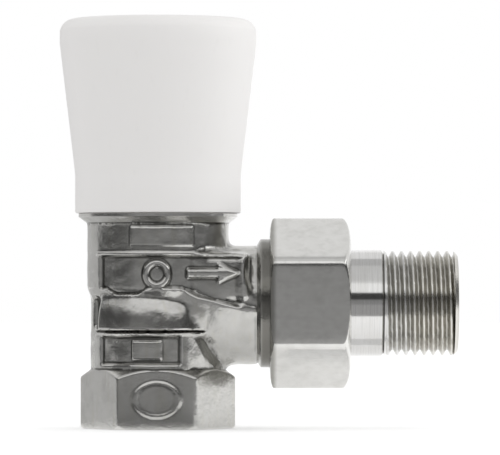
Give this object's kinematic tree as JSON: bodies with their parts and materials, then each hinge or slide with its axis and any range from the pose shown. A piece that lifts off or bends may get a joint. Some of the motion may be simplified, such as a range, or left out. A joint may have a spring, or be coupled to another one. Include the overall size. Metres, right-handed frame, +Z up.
{
  "type": "angle lockshield radiator valve",
  "caption": "Angle lockshield radiator valve with female pipe inlet, hexagon union nut and threaded tail, key-set spindle and a tall pull-off cap.",
  "frame": {"origin": "centre of the inlet mouth, on the bottom face of the body", "axes": "+Z up along the valve and spindle axis, +X along the outlet towards the radiator"},
  "size_m": [0.0798, 0.0396, 0.082],
  "materials": {
    "forged_nickel": "nickel-plated forging, satin",
    "nut_nickel": "nickel-plated drawn bar, lightly stained",
    "turned_nickel": "nickel-plated, bright turned",
    "machined_brass": "bare machined brass",
    "bright_steel": "bright stainless",
    "black_rubber": "moulded rubber",
    "white_seal": "waxy seal plastic",
    "grey_plastic": "moulded, fine grain",
    "white_plastic": "smooth moulded, satin"
  },
  "bodies": {
    "valve": {"valve_body": "forged_nickel", "bonnet": "machined_brass", "bonnet_o_ring": "black_rubber", "gland_nut": "machined_brass", "gland_washer": "machined_brass", "gland_packing": "white_seal", "wiper_ring": "black_rubber"},
    "plug": {"plug": "machined_brass", "plug_clip": "bright_steel", "plug_seal": "black_rubber", "throttle_cone": "machined_brass", "plug_washer": "bright_steel", "plug_screw": "bright_steel"},
    "spindle": {"spindle": "machined_brass", "spindle_o_rings": "black_rubber", "back_seat_washer": "white_seal"},
    "tail": {"tailpiece": "turned_nickel", "tail_o_ring": "black_rubber"},
    "nut": {"union_nut": "nut_nickel"},
    "cap_grip": {"cap_insert": "grey_plastic"},
    "cap": {"lockshield_cap": "white_plastic"}
  },
  "joints": [
    {"name": "plug_lift", "type": "slide", "parent": "valve", "child": "plug", "axis": [0, 0, 1], "range_m": [0, 0.00451]},
    {"name": "spindle_turn", "type": "hinge", "parent": "plug", "child": "spindle", "pos_m": [0, 0, 0.04], "axis": [0, 0, 1], "range_deg": [0, 1620]},
    {"name": "tail_draw", "type": "slide", "parent": "valve", "child": "tail", "axis": [1, 0, 0], "range_m": [0, 0.00908]},
    {"name": "nut_turn", "type": "hinge", "parent": "tail", "child": "nut", "pos_m": [0.03, 0, 0.025], "axis": [1, 0, 0], "range_deg": [0, 1800]},
    {"name": "cap_pull", "type": "slide", "parent": "valve", "child": "cap_grip", "axis": [0, 0, 1], "range_m": [0, 0.032]},
    {"name": "cap_spin", "type": "hinge", "parent": "cap_grip", "child": "cap", "pos_m": [0, 0, 0.06], "axis": [0, 0, 1], "continuous": true}
  ],
  "couplings": [
    {"joint": "plug_lift", "follows": "spindle_turn", "m_per_rad": 0.00015915},
    {"joint": "tail_draw", "follows": "nut_turn", "m_per_rad": 0.00028871}
  ]
}
